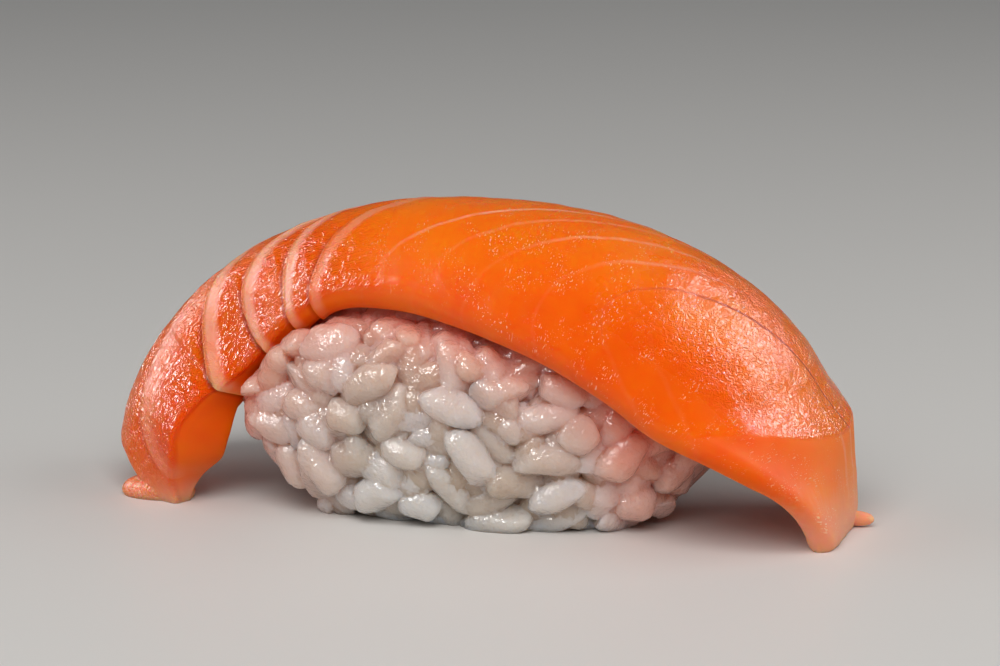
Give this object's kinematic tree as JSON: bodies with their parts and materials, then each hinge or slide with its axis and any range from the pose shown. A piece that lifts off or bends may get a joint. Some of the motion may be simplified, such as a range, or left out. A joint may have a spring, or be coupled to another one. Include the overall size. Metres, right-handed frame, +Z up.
{
  "type": "salmon sushi",
  "caption": "Slice of raw salmon draped over a hand-pressed block of cooked short-grain rice.",
  "frame": {"origin": "a point of the rice block's flat base, near its middle, on the table", "axes": "+X along the slice towards the end that lies flat on the table, +Y away from the side that the picture shows, +Z up"},
  "size_m": [0.0779, 0.0301, 0.0314],
  "materials": {
    "salmon": "wet raw salmon, orange with pale fat lines",
    "rice": "cooked white rice, moist and slightly translucent"
  },
  "bodies": {
    "root": {"salmon": "salmon", "rice": "rice"}
  },
  "joints": []
}
